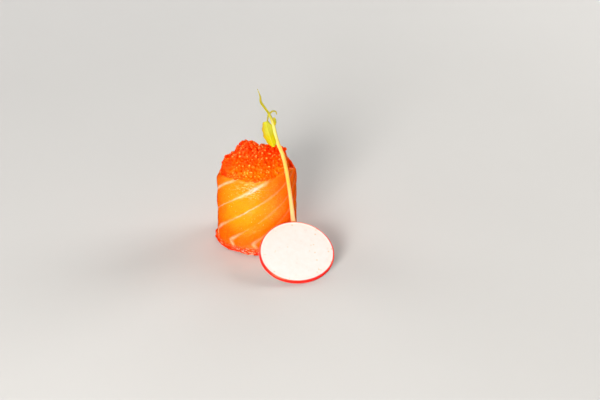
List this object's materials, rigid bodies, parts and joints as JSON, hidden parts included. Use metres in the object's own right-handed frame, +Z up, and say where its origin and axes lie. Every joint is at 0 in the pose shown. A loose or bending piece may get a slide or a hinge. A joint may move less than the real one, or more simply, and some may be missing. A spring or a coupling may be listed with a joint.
{
  "type": "gunkan sushi",
  "caption": "Salmon-wrapped gunkan sushi heaped with orange flying-fish roe, with a leaning radish slice and a pea shoot.",
  "frame": {"origin": "centre of the sushi's flat base, on the surface it stands on", "axes": "+Z up, -Y towards the front where the radish slice leans, +X to the right"},
  "size_m": [0.0521, 0.0614, 0.0742],
  "materials": {
    "salmon": "raw salmon, moist, with pale fat lines",
    "rice": "cooked rice, slightly moist",
    "roe": "small wet translucent eggs",
    "radish": "cut white flesh with a thin red skin",
    "shoot": "pale yellow-green stem and leaf"
  },
  "bodies": {
    "root": {"salmon_wrap": "salmon", "rice": "rice", "roe": "roe", "radish_slice": "radish", "pea_shoot": "shoot"}
  },
  "joints": []
}
